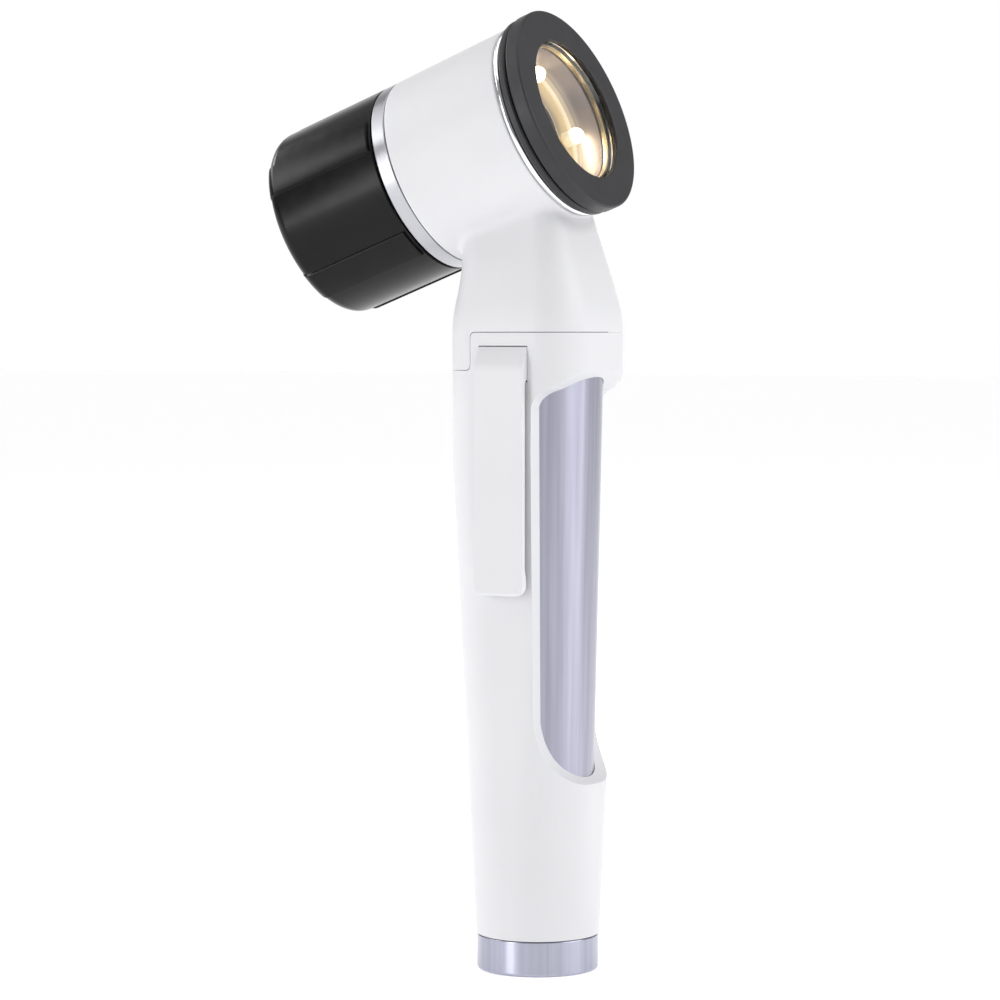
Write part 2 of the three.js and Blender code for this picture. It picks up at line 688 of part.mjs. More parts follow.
function addHeadBody(group, head) {
  group.add(
    piece('head_housing', headHousing(), WHITE_PLASTIC),
    piece('neck_plug', neckPlug(), GREY_PLASTIC),
    piece('contact_pin', contactPin(), BRASS),
    piece('driver_board', driverBoard(), BOARD),
  );
  head.add(
    piece('trim_band', trimBand(), SATIN_ALUMINIUM),
    piece('trim_bead', trimBead(), CHROME),
    piece('inner_barrel', innerBarrel(), GREY_PLASTIC),
    piece('ring_seat', ringSeat(), BLACK_PLASTIC),
    piece('light_cone', lightCone(), SATIN_ALUMINIUM),
    piece('led_board', ledBoard(), BOARD),
  );
  ['lower', 'right', 'upper', 'left'].forEach((place, quarter) => {
    head.add(piece(`led_${place}`, led(LED_FIRST + quarter * 90 * DEGREE), LAMP));
  });
}

// -------------------------------------------------------------- contact ring

const contactRing = () =>
  turned([
    [APERTURE_RADIUS, CONTACT_FACE],
    [CONTACT_RADIUS - 0.3, CONTACT_FACE],
    [CONTACT_RADIUS, CONTACT_FACE - 0.3],
    [CONTACT_RADIUS, SEAT_FRONT + GAP / 2 + 0.3],
    [CONTACT_RADIUS - 0.3, SEAT_FRONT + GAP / 2],
    [CONTACT_SPIGOT.radius, SEAT_FRONT + GAP / 2],
    [CONTACT_SPIGOT.radius, CONTACT_SPIGOT.end],
    [CONTACT_SPIGOT.bore, CONTACT_SPIGOT.end],
    [CONTACT_SPIGOT.bore, GLASS_FRONT + GAP],
    [APERTURE_RADIUS, GLASS_FRONT + GAP],
  ]);

function addContactRing(head) {
  const retainer = tube(RETAINER.bore, GLASS.radius, RETAINER.rear, GLASS_REAR - GAP, ROUND);
  head.add(
    piece('contact_ring', contactRing(), BLACK_PLASTIC),
    piece('contact_glass', rod(GLASS.radius, GLASS_REAR, GLASS_FRONT, ROUND), CLEAR_GLASS),
    piece('glass_retainer', retainer, SATIN_ALUMINIUM),
  );
}

// ------------------------------------------------- focusing ring and its lens

/** The focusing ring's turned form at one outer radius, rounded at the eye end. */
function focusBlank(radius, front) {
  const rounding = [90, 60, 30, 0].map((step) => [
    radius - FOCUS_EDGE + FOCUS_EDGE * Math.cos(step * DEGREE),
    FOCUS_REAR + FOCUS_EDGE - FOCUS_EDGE * Math.sin(step * DEGREE),
  ]);
  return turned([
    [EYE_STOP.rim, FOCUS_REAR],
    ...rounding,
    [radius, front],
    [FOCUS_BORE, front],
    [FOCUS_BORE, EYE_STOP.front],
    [EYE_STOP.radius, EYE_STOP.front],
    [EYE_STOP.radius, EYE_STOP.rear],
  ]);
}

/** The focusing ring: a smooth turned body with raised finger ribs. */
function focusRing() {
  const base = focusBlank(FOCUS_RADIUS, BAND_REAR - GAP / 2);
  const raised = toSolid(focusBlank(FOCUS_RADIUS + RIB_HEIGHT, BAND_REAR - 2 * GAP));
  const relief = tube(FOCUS_BORE - 0.1, RELIEF.radius, RELIEF.rear, RELIEF.front, ROUND);
  let body = toSolid(base);
  for (let rib = 0; rib < RIB_COUNT; rib += 1) {
    const middle = RIB_FIRST + (rib * 2 * Math.PI) / RIB_COUNT;
    const wedge = new THREE.Shape();
    wedge.moveTo(15 * Math.cos(middle), 15 * Math.sin(middle));
    for (const side of [-0.5, 0.5]) {
      const angle = middle + side * RIB_WIDTH;
      wedge.lineTo(24 * Math.cos(angle), 24 * Math.sin(angle));
    }
    const prism = new THREE.ExtrudeGeometry(wedge, { depth: 40, bevelEnabled: false });
    body = body.add(raised.intersect(toSolid(prism.translate(0, 0, -60))));
  }
  return toGeometry(body.subtract(toSolid(relief)));
}

/** A double-convex lens between two heights at its middle. */
function lens({ low, high }) {
  const steps = [0, 0.25, 0.5, 0.75, 1];
  const middle = (low + high) / 2;
  const edge = 0.7;
  const bulge = (high - low) / 2 - edge;
  const face = (side) => steps.map((part) =>
    [LENS_RADIUS * part, middle + side * (edge + bulge * (1 - part * part))]);
  return turned([...face(-1), ...face(1).reverse()], INNER);
}

/** A rod square to the head's axis, at the cam pins' place. */
const camRod = (radius, inner, outer, turn) =>
  rod(radius, inner, outer, 12).rotateY(Math.PI / 2).rotateZ(turn).translate(0, 0, CAM_PIN.place);

/** The sliding tube that holds the lenses, with a hole for each cam pin. */
function lensCarrier() {
  const sleeve = turned([
    [CARRIER.bore, CARRIER.rear],
    [CARRIER.radius, CARRIER.rear],
    [CARRIER.radius, CARRIER.front],
    [CARRIER.lip, CARRIER.front],
    [CARRIER.lip, CARRIER.front - 1],
    [CARRIER.bore, CARRIER.front - 1],
  ]);
  const holes = [0, Math.PI].map((turn) => camRod(CAM_PIN.radius + GAP, 10, 14, turn));
  return cut(sleeve, ...holes);
}

function addFocus(head) {
  const bore = LENS_RADIUS - 1;
  const spacer = tube(bore, LENS_RADIUS, LENS_REAR.high - 0.5, LENS_FRONT.low + 0.5);
  const retainer = tube(bore, LENS_RADIUS, LENS_REAR.low - 1.6, LENS_REAR.low - 0.4);
  const pin = (turn) => camRod(CAM_PIN.radius, CAM_PIN.inner, CAM_PIN.outer, turn);
  head.add(
    piece('focus_ring', focusRing(), BLACK_PLASTIC),
    piece('lens_carrier', lensCarrier(), BLACK_PLASTIC),
    piece('lens_front', lens(LENS_FRONT), CLEAR_GLASS),
    piece('lens_spacer', spacer, BLACK_PLASTIC),
    piece('lens_rear', lens(LENS_REAR), CLEAR_GLASS),
    piece('lens_retainer', retainer, BRASS),
    piece('cam_pin_lower', pin(0), NICKEL_STEEL),
    piece('cam_pin_upper', pin(Math.PI), NICKEL_STEEL),
  );
}

// ------------------------------------------------------------------ assembly

const magnifier = new THREE.Group();
const head = new THREE.Group();
head.applyMatrix4(headFrame);
magnifier.add(head);
addHandle(magnifier);
addEndCap(magnifier);
addClip(magnifier);
addHeadBody(magnifier, head);
addContactRing(head);
addFocus(head);

export default magnifier;
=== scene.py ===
"""The looks of a pocket skin magnifier with its own light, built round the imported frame.

Metres, +Z up the handle, +X towards the contact ring, -Y towards the clip. Lengths of the
object are written in millimetres and multiplied by MM. Turned pieces take their outline from
the frame's own solid, then get rounded edges and a fine mesh. The white shells are lofted,
cut and rounded here.
"""

import json
import math

import bmesh
import bpy
import numpy as np
from mathutils import Matrix, Vector


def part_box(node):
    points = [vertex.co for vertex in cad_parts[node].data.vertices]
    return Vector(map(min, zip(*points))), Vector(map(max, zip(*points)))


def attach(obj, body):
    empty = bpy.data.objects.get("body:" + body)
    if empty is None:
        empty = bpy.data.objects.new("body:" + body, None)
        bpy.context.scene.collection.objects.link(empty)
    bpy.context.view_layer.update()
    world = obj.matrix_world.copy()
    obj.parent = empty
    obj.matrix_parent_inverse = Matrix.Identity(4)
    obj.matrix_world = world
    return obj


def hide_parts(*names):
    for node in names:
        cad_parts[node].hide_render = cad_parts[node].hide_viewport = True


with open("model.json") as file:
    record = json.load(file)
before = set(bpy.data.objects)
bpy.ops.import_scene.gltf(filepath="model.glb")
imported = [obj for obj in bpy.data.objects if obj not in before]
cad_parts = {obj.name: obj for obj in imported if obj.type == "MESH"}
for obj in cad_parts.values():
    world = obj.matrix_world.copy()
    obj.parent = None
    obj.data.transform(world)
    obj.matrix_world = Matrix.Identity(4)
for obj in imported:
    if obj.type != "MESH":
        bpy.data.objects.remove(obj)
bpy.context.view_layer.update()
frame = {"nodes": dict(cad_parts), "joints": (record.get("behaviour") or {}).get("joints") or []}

MM = 0.001
DEGREE = math.pi / 180
HANDLE = Matrix.Identity(4)  # the handle's own frame is the object's frame

# ------------------------------------------------------- dimensions, millimetres

GAP = 0.3  # clearance between two pieces
SEAM = 0.1  # the narrower joint lines of the shells that show
ROUND_SIDES = 144  # sides of a turned piece that shows
SMALL_SIDES = 48  # sides of a small turned piece
TOOL_SIDES = 96  # sides of a turned body that cuts or is remeshed

CASING_BOTTOM_RADIUS = 11.55
CASING_SQUARE_FROM = 97.0  # from this height up the section stays the same
CASING_HALF = 13.8  # half its width at the top
CASING_CORNER = 8.0
CASING_ROUNDING = 0.6  # rounding of the window's lips
SHELL_WALL = 1.8
PARTING = 118.7  # height of the joint between handle and head
TONGUE_BOTTOM = 111.7  # the head's rear tongue reaches down to here
TONGUE_FRONT = -6.8  # along X
TONGUE_ROUNDING = 1.1

BARREL_TOP = 109.5  # beside the clip and behind the tongue
SOCKET_HALF = 11.6  # half the width of the square socket over the barrel
SOCKET_CORNER = 6.0

WINDOW_EDGE = 5.8  # the side edges' place along X
WINDOW_LEAN = 0.35  # how far the side edges lean back down to the sill
WINDOW_SILL = 35.0  # height at the front
WINDOW_HIGH = 111.6  # top of the arch, at the front
WINDOW_SCOOP = 12.0  # height of the curve from the sill up to the side edge
ARCH_FALL = 6.6  # from the window's top at the front down to the top of its side edge
ARCH_REACH = 3.4  # from the side edge forward to where the arch becomes straight

CLIP_HALF_WIDTH = 5.0
CLIP_RAMP_END = 112.4  # height where the ramp from the slot meets the outer face
CLIP_OUTER = -15.8  # the outer face's place along Y
CLIP_THICKNESS = 1.2
CLIP_CORNER = 2.0  # rounding of the lower corners

BEYOND = 20.0  # clear of the handle on every side
BEYOND_TOP = 124.0  # clear above the casing

NECK_LEVELS = (
    # height, back, front, half width, corner radius
    (111.85, -13.8, 13.8, 13.8, 8.0),
    (121.4, -13.8, 13.8, 13.8, 8.0),
    (126.0, -12.7, 12.5, 12.8, 7.0),
    (131.0, -12.0, 11.0, 11.7, 6.0),
    (136.0, -12.4, 9.6, 10.4, 5.4),
    (140.4, -13.2, 8.2, 9.6, 4.4),
    (152.0, -14.5, 3.2, 9.2, 4.0),
)
NECK_FOOT = 100.0  # below the joint, to be cut away
NECK_TOP = 150.0  # inside the round shell
NECK_BLEND = 2.2  # the levels are blended over this much height each way
HEAD_FILLET = 1.3  # between the neck and the round shell
HEAD_BORE = 16.4  # radius inside the round shell
RIM_ROUNDING = 0.35  # of the round shell's ends

FOCUS_RADIUS = 18.25
RIB_HEIGHT = 0.55
RIB_COUNT = 5
RIB_WIDTH = 20 * DEGREE  # round the ring
RIB_FIRST = 29 * DEGREE  # middle of the first rib
BARREL_ROOM = 14.4  # radius of the room for the inner barrel
EYE_OPENING = 11.4  # radius of the opening at the eye end
EYE_RECESS = 13.0  # radius of the grooved recess round it


# ------------------------------------------------------------------ own frames

def head_frame():
    """The head's own frame: +Z along its axis to the skin, +X square to it and downward."""
    joint = next(j for j in frame["joints"] if j["name"] == "focus_turn")
    along = Vector(joint["axis"]).normalized()
    down = Vector((along.z, 0, -along.x))
    turn = Matrix((down, along.cross(down), along)).transposed()
    return Matrix.Translation(joint["pos_m"]) @ turn.to_4x4()


HEAD = head_frame()


def points_in(node, own):
    """A node's vertices in a frame of its own, in millimetres."""
    inverse = own.inverted()
    return [inverse @ vertex.co / MM for vertex in frame["nodes"][node].data.vertices]


# ---------------------------------------------------------------- mesh helpers

def new_piece(name, vertices, faces, own=HANDLE):
    """A mesh object with its faces turned outward; the vertices are in millimetres."""
    mesh = bpy.data.meshes.new(name)
    mesh.from_pydata([Vector(v) * MM for v in vertices], [], faces)
    made = bpy.data.objects.new(name, mesh)
    bpy.context.scene.collection.objects.link(made)
    made.matrix_world = own
    rework(made, lambda bm: bmesh.ops.remove_doubles(bm, verts=bm.verts, dist=1e-7))
    return made


def rework(piece, change):
    """Edits a piece's mesh with a function of its bmesh."""
    bm = bmesh.new()
    bm.from_mesh(piece.data)
    change(bm)
    bmesh.ops.recalc_face_normals(bm, faces=bm.faces)
    bm.to_mesh(piece.data)
    bm.free()


def apply_modifiers(piece):
    """Makes a piece's modifiers part of its mesh."""
    graph = bpy.context.evaluated_depsgraph_get()
    mesh = bpy.data.meshes.new_from_object(piece.evaluated_get(graph))
    piece.modifiers.clear()
    piece.data = mesh


def cut(piece, *tools):
    """Takes the tools away from the piece, and deletes them."""
    for tool in tools:
        step = piece.modifiers.new("cut", "BOOLEAN")
        step.operation = "DIFFERENCE"
        step.solver = "EXACT"
        step.object = tool
        bpy.context.view_layer.update()
        apply_modifiers(piece)
        bpy.data.objects.remove(tool)


def soften(piece, width, is_left_sharp=lambda edge: False, segments=3):
    """Rounds the sharp edges, but for those that a test names; the width is in millimetres."""
    sharper_than = 40 * DEGREE

    def weigh(bm):
        bmesh.ops.dissolve_limit(
            bm, angle_limit=0.3 * DEGREE, verts=bm.verts, edges=bm.edges)
        weight = bm.edges.layers.float.new("bevel_weight_edge")
        for edge in bm.edges:
            sharp = edge.is_manifold and edge.calc_face_angle() > sharper_than
            edge[weight] = 1.0 if sharp and not is_left_sharp(edge) else 0.0
    rework(piece, weigh)
    step = piece.modifiers.new("soften", "BEVEL")
    step.width = width * MM
    step.segments = segments
    step.limit_method = "WEIGHT"
    step.use_clamp_overlap = True
    apply_modifiers(piece)


def shade(piece, crease=38):
    """Smooth shading that keeps the edges sharper than the crease, in degrees."""
    piece.data.shade_smooth()
    piece.data.set_sharp_from_angle(angle=crease * DEGREE)
    even = piece.modifiers.new("even_normals", "WEIGHTED_NORMAL")
    even.keep_sharp = True


def dress(piece, body, material, slot, *nodes):
    """Gives a finished piece its body, finish and the nodes that it stands for."""
    piece.data.materials.clear()
    piece.data.materials.append(material)
    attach(piece, body)
    if nodes:
        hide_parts(*nodes)
    return piece


# --------------------------------------------------------------- turned pieces

def meridian(node, own):
    """The outline of a turned node, in order, as (radius, place) in millimetres.

    It follows the edges that lie on the half plane towards the own frame's -Y.
    """
    points = points_in(node, own)
    near = 1e-3
    on_plane = {i for i, p in enumerate(points) if abs(p.x) < near and p.y < near}
    spots = {i: (round(-points[i].y, 3), round(points[i].z, 3)) for i in on_plane}
    links = {}
    for edge in frame["nodes"][node].data.edges:
        a, b = edge.vertices
        if a in spots and b in spots and spots[a] != spots[b]:
            links.setdefault(spots[a], set()).add(spots[b])
            links.setdefault(spots[b], set()).add(spots[a])
    for spot in [s for s in links if s[0] < near]:
        links[spot] = {other for other in links[spot] if other[0] >= near}
    ends = [spot for spot in links if spot[0] < near]
    path = [min(ends) if ends else min(links)]
    while True:
        onward = [s for s in links[path[-1]] if s not in path]
        if not onward:
            return path
        path.append(onward[0])


def rounded(outline, fillet, steps=5):
    """An outline with its corners rounded; one that begins on the axis stays open."""
    nearly_straight = 165 * DEGREE
    most = 0.45  # share of an edge's length that one corner may take
    is_open = outline[0][0] < 1e-3
    count = len(outline)
    result = []
    for i, spot in enumerate(outline):
        corner = Vector(spot)
        if is_open and i in (0, count - 1):
            result.append(corner)
            continue
        back = Vector(outline[i - 1]) - corner
        ahead = Vector(outline[(i + 1) % count]) - corner
        turn = back.angle(ahead)
        if turn > nearly_straight:
            result.append(corner)
            continue
        reach = min(fillet / math.tan(turn / 2), most * back.length, most * ahead.length)
        start = corner + back.normalized() * reach
        end = corner + ahead.normalized() * reach
        for k in range(steps + 1):
            t = k / steps
            result.append(start * (1 - t) ** 2 + corner * 2 * t * (1 - t) + end * t ** 2)
    return result


def turned_faces(sides, count, is_open=False):
    """The faces between outlines of so many points that stand round an axis."""
    faces = []
    for side in range(sides):
        here, there = side * count, (side + 1) % sides * count
        for i in range(count - 1 if is_open else count):
            j = (i + 1) % count
            faces.append((here + i, there + i, there + j, here + j))
    return faces


def revolve(name, outline, own, sides=ROUND_SIDES, is_open=False):
    """A turned mesh from an outline of (radius, place) in millimetres."""
    vertices = []
    for side in range(sides):
        angle = side / sides * 2 * math.pi
        for radius, place in outline:
            vertices.append((radius * math.cos(angle), radius * math.sin(angle), place))
    return new_piece(name, vertices, turned_faces(sides, len(outline), is_open), own)


def turned_copy(node, own, fillet, sides=ROUND_SIDES):
    """A fine, rounded copy of a turned node."""
    outline = meridian(node, own)
    return revolve(f"{node}_fine", rounded(outline, fillet), own, sides, outline[0][0] < 1e-3)


# ------------------------------------------------------------- lofts and prisms

def ring_points(height, back, front, half, corner, steps=12):
    """A level rounded rectangle as a ring of points."""
    centres = (
        (front - corner, half - corner),
        (back + corner, half - corner),
        (back + corner, corner - half),
        (front - corner, corner - half),
    )
    ring = []
    for quarter, (x, y) in enumerate(centres):
        for step in range(steps + 1):
            angle = (quarter + step / steps) * math.pi / 2
            ring.append((x + corner * math.cos(angle), y + corner * math.sin(angle), height))
    return ring


def square_ring(height, half, corner):
    """A level rounded square about the handle's axis as a ring of points."""
    return ring_points(height, -half, half, half, corner)


def loft(name, rings):
    """A closed body through level rings, lowest first."""
    count = len(rings[0])
    vertices = [point for ring in rings for point in ring]
    faces = [tuple(reversed(range(count)))]
    for level in range(len(rings) - 1):
        for i in range(count):
            a, b = level * count + i, level * count + (i + 1) % count
            faces.append((a, b, b + count, a + count))
    faces.append(tuple(range((len(rings) - 1) * count, len(rings) * count)))
    return new_piece(name, vertices, faces)


def prism(name, outline, low, high, across):
    """A closed body from an outline run along one axis; across is "X" or "Y"."""
    count = len(outline)
    place = {
        "X": lambda depth, spot: (depth, spot[0], spot[1]),
        "Y": lambda depth, spot: (spot[0], depth, spot[1]),
    }[across]
    vertices = [place(depth, spot) for depth in (low, high) for spot in outline]
    faces = [tuple(range(count)), tuple(range(count, 2 * count))]
    for i in range(count):
        j = (i + 1) % count
        faces.append((i, j, j + count, i + count))
    return new_piece(name, vertices, faces)


def block(name, low, high):
    """A box given by its lowest and highest corners."""
    outline = [(low[0], low[2]), (high[0], low[2]), (high[0], high[2]), (low[0], high[2])]
    return prism(name, outline, low[1], high[1], "Y")


def curve(start, control, end, steps=10):
    """The points of a quadratic curve, without its first one."""
    start, control, end = Vector(start), Vector(control), Vector(end)
    return [
        start * (1 - t) ** 2 + control * 2 * t * (1 - t) + end * t ** 2
        for t in (step / steps for step in range(1, steps + 1))
    ]


# ------------------------------------------------------------------- materials

def plain(name, colour, roughness, metallic=0.0, **sockets):
    """A Principled material. What is the same all over is set on the shader's own sockets."""
    made = bpy.data.materials.new(name)
    made.use_nodes = True
    shader = made.node_tree.nodes["Principled BSDF"]
    shader.inputs["Base Color"].default_value = (*colour, 1)
    shader.inputs["Roughness"].default_value = roughness
    shader.inputs["Metallic"].default_value = metallic
    for socket, value in sockets.items():
        shader.inputs[socket.replace("_", " ")].default_value = value
    return made


def noise(material, scale, detail=3.0, stretch=(1, 1, 1)):
    """A noise pattern fixed to the piece; the scale is in features per metre."""
    nodes, links = material.node_tree.nodes, material.node_tree.links
    place = nodes.new("ShaderNodeTexCoord")
    mapping = nodes.new("ShaderNodeMapping")
    mapping.inputs["Scale"].default_value = stretch
    pattern = nodes.new("ShaderNodeTexNoise")
    pattern.inputs["Scale"].default_value = scale
    pattern.inputs["Detail"].default_value = detail
    links.new(place.outputs["Object"], mapping.inputs["Vector"])
    links.new(mapping.outputs["Vector"], pattern.inputs["Vector"])
    return pattern.outputs["Fac"]


def remap(material, pattern, low, high):
    """A noise pattern, nearly all of it between 0.3 and 0.7, spread between two values."""
    nodes, links = material.node_tree.nodes, material.node_tree.links
    spread = nodes.new("ShaderNodeMapRange")
    spread.inputs["From Min"].default_value = 0.3
    spread.inputs["From Max"].default_value = 0.7
    spread.inputs["To Min"].default_value = low
    spread.inputs["To Max"].default_value = high
    links.new(pattern, spread.inputs["Value"])
    return spread.outputs["Result"]


def fade(material, low, high, first, last):
    """A value that goes from one to another between two places along the piece's own Z.

    The places are in millimetres.
    """
    nodes, links = material.node_tree.nodes, material.node_tree.links
    place = nodes.new("ShaderNodeTexCoord")
    split = nodes.new("ShaderNodeSeparateXYZ")
    fading = nodes.new("ShaderNodeMapRange")
    fading.interpolation_type = "SMOOTHSTEP"
    fading.inputs["From Min"].default_value = low * MM
    fading.inputs["From Max"].default_value = high * MM
    fading.inputs["To Min"].default_value = first
    fading.inputs["To Max"].default_value = last
    links.new(place.outputs["Object"], split.inputs["Vector"])
    links.new(split.outputs["Z"], fading.inputs["Value"])
    return fading.outputs["Result"]


def shader_of(material):
    """The material's Principled shader."""
    return material.node_tree.nodes["Principled BSDF"]


def vary_roughness(material, pattern, low, high):
    """Lets the roughness follow a pattern between two values."""
    value = remap(material, pattern, low, high)
    material.node_tree.links.new(value, shader_of(material).inputs["Roughness"])


def vary_colour(material, pattern, first, second, socket="Base Color"):
    """Lets a colour of the shader follow a pattern between two colours."""
    nodes, links = material.node_tree.nodes, material.node_tree.links
    mixer = nodes.new("ShaderNodeMix")
    mixer.data_type = "RGBA"
    mixer.inputs["A"].default_value = (*first, 1)
    mixer.inputs["B"].default_value = (*second, 1)
    links.new(remap(material, pattern, 0, 1), mixer.inputs["Factor"])
    links.new(mixer.outputs["Result"], shader_of(material).inputs[socket])


def bump(material, pattern, height):
    """Relief from a pattern; the height is in millimetres."""
    nodes, links = material.node_tree.nodes, material.node_tree.links
    relief = nodes.new("ShaderNodeBump")
    relief.inputs["Distance"].default_value = height * MM
    relief.inputs["Strength"].default_value = 1.0
    links.new(pattern, relief.inputs["Height"])
    links.new(relief.outputs["Normal"], shader_of(material).inputs["Normal"])


def around(material):
    """Stretches a material's highlights across fine grooves that run round its own Z axis."""
    nodes, links = material.node_tree.nodes, material.node_tree.links
    tangent = nodes.new("ShaderNodeTangent")
    tangent.direction_type = "RADIAL"
    tangent.axis = "Z"
    links.new(tangent.outputs["Tangent"], shader_of(material).inputs["Tangent"])
    shader_of(material).inputs["Anisotropic Rotation"].default_value = 0.25


def white_plastic():
    """Smooth moulded plastic with a soft gloss."""
    made = plain("white_plastic", (0.66, 0.66, 0.68), 0.4, Specular_IOR_Level=0.25)
    vary_colour(made, noise(made, 45, 4), (0.65, 0.65, 0.67), (0.67, 0.67, 0.69))
    vary_roughness(made, noise(made, 260, 5), 0.38, 0.44)
    bump(made, noise(made, 2600, 2), 0.002)
    return made


def dark_plastic(name, shade, gloss, roughness, grain, height):
    """Dark moulded plastic, between two roughnesses, with a grain of a height in millimetres."""
    first = [shade * part for part in (0.85, 0.85, 0.95)]
    second = [shade * part for part in (1.15, 1.15, 1.3)]
    made = plain(name, first, roughness[0], Specular_IOR_Level=gloss)
    vary_colour(made, noise(made, 160, 5), first, second)
    vary_roughness(made, noise(made, 420, 5), *roughness)
    bump(made, noise(made, grain, 3), height)
    return made


def turned_metal(name, first, second, roughness, anisotropy, is_streaked=False):
    """Turned metal: fine rings round the piece's own Z axis, shaded in rings or in streaks."""
    made = plain(name, first, roughness[0], 1.0, Anisotropic=anisotropy)
    lines = noise(made, 900, 4, (0.002, 0.002, 9.0))
    shades = noise(made, 1100, 3, (1, 1, 0.004)) if is_streaked else lines
    vary_colour(made, shades, first, second)
    vary_roughness(made, lines, *roughness)
    bump(made, lines, 0.0008)
    around(made)
    return made


def paint_lamp_glow(material, low, high, strength):
    """Painted lamplight: a warm glow given as emission in rings, fading out between two places along
    the own Z, in millimetres.
    """
    nodes, links = material.node_tree.nodes, material.node_tree.links
    shader = shader_of(material)
    shader.inputs["Emission Color"].default_value = (1.0, 0.80, 0.50, 1)
    product = nodes.new("ShaderNodeMath")
    product.operation = "MULTIPLY"
    rings = remap(material, noise(material, 900, 2, (0.002, 0.002, 1.8)), 0.1, 1)
    links.new(fade(material, low, high, strength, 0), product.inputs[0])
    links.new(rings, product.inputs[1])
    links.new(product.outputs["Value"], shader.inputs["Emission Strength"])


def glass(name, tint, coat):
    """Clear polished glass; the coat is the weight of its coating."""
    made = plain(name, tint, 0.02, IOR=1.5, Transmission_Weight=1.0, Coat_Weight=coat)
    vary_roughness(made, noise(made, 300, 3), 0.0, 0.03)
    return made


def lamp():
    """A dome lit warm white, brightest at its tip."""
    made = plain("lamp_dome", (1.0, 0.93, 0.75), 0.15)
    glow = fade(made, 0.6, 2.9, 0.6, 30)
    made.node_tree.links.new(glow, shader_of(made).inputs["Emission Strength"])
    vary_colour(made, noise(made, 700, 2), (1.0, 0.74, 0.40), (1.0, 0.86, 0.60), "Emission Color")
    return made


WHITE = white_plastic()
BLACK_SATIN = dark_plastic("black_satin", 0.004, 0.18, (0.20, 0.25), grain=2400, height=0.001)
BLACK_GRAIN = dark_plastic("black_grain", 0.020, 0.4, (0.42, 0.50), grain=2600, height=0.012)
BLACK_RUBBER = dark_plastic("black_rubber", 0.015, 0.4, (0.7, 0.85), grain=1500, height=0.02)
GREY = dark_plastic("grey_plastic", 0.15, 0.5, (0.40, 0.55), grain=1500, height=0.01)
BARREL_METAL = turned_metal(
    "barrel_metal", (0.37, 0.37, 0.46), (0.46, 0.46, 0.55), (0.30, 0.34), 0.8, is_streaked=True)
CAP_METAL = turned_metal(
    "cap_metal", (0.39, 0.40, 0.49), (0.46, 0.47, 0.56), (0.30, 0.34), 0.8, is_streaked=True)
BAND_METAL = turned_metal(
    "band_metal", (0.42, 0.42, 0.45), (0.48, 0.48, 0.51), (0.28, 0.34), 0.7)
STEEL = turned_metal("nickel_steel", (0.66, 0.66, 0.64), (0.74, 0.74, 0.72), (0.22, 0.32), 0.3)
BRASS = turned_metal("brass", (0.70, 0.52, 0.22), (0.80, 0.62, 0.30), (0.22, 0.34), 0.4)
LAMP_PLATE = turned_metal(
    "lamp_plate", (0.50, 0.44, 0.33), (0.86, 0.78, 0.60), (0.20, 0.34), 0.5)
CONE_METAL = turned_metal(
    "cone_metal", (0.27, 0.25, 0.29), (0.38, 0.36, 0.40), (0.36, 0.50), 0.3)
# the cone's metal glows with painted lamplight near the lamps, given as emission
paint_lamp_glow(CONE_METAL, -1.0, 2.2, 1.6)
CHROME = plain("chrome", (0.88, 0.88, 0.90), 0.08, 1.0)
vary_roughness(CHROME, noise(CHROME, 500, 3), 0.05, 0.12)
SLEEVE = plain("cell_sleeve", (0.045, 0.11, 0.07), 0.3, Coat_Weight=0.3)
vary_colour(SLEEVE, noise(SLEEVE, 200, 4), (0.04, 0.10, 0.06), (0.05, 0.12, 0.08))
BOARD = plain("circuit_board", (0.50, 0.49, 0.45), 0.45)
vary_colour(BOARD, noise(BOARD, 400, 4), (0.46, 0.45, 0.42), (0.54, 0.53, 0.49))
CLEAR_GLASS = glass("clear_glass", (0.98, 0.99, 1.0), 0.0)
LENS_GLASS = glass("lens_glass", (0.96, 0.98, 1.0), 0.2)
LAMP = lamp()


# ---------------------------------------------------------------- white casing

def casing_ring(height, inset=0.0):
    """The casing's section, a circle at the bottom and a rounded square at the top."""
    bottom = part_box("handle_casing")[0].z / MM
    rise = min(1, max(0, (height - bottom) / (CASING_SQUARE_FROM - bottom)))
    half = CASING_BOTTOM_RADIUS + (CASING_HALF - CASING_BOTTOM_RADIUS) * rise
    nearly_round = CASING_BOTTOM_RADIUS - 0.01
    corner = nearly_round + (CASING_CORNER - CASING_BOTTOM_RADIUS) * rise
    return square_ring(height, half - inset, corner - inset)


def window_outline():
    """What the window takes out of the casing, from the side."""
    edge = WINDOW_EDGE - WINDOW_LEAN
    start = (edge, WINDOW_SILL + WINDOW_SCOOP)
    sill = (CASING_HALF - 1, WINDOW_SILL)
    corner = (WINDOW_EDGE, WINDOW_HIGH - ARCH_FALL)
    bend = (WINDOW_EDGE + 0.4, WINDOW_HIGH - ARCH_FALL * 2 / 3)
    knee = (WINDOW_EDGE + ARCH_REACH, WINDOW_HIGH - ARCH_FALL / 2)
    return [
        start,
        corner,
        *curve(corner, bend, knee),
        (CASING_HALF, WINDOW_HIGH),
        (BEYOND, WINDOW_HIGH + 1.6),
        (BEYOND, WINDOW_SILL - 4),
        sill,
        *curve(sill, (edge + 1, WINDOW_SILL + 3.4), start, 16)[:-1],
    ]


def barrel_ends():
    """The battery barrel's ends, lowest first, as (inner radius, outer radius, height)."""
    points = points_in("battery_barrel", HANDLE)
    ends = []
    for level in (min(p.z for p in points), max(p.z for p in points)):
        radii = [math.hypot(p.x, p.y) for p in points if abs(p.z - level) < 0.01]
        ends.append((min(radii), max(radii), level))
    return ends


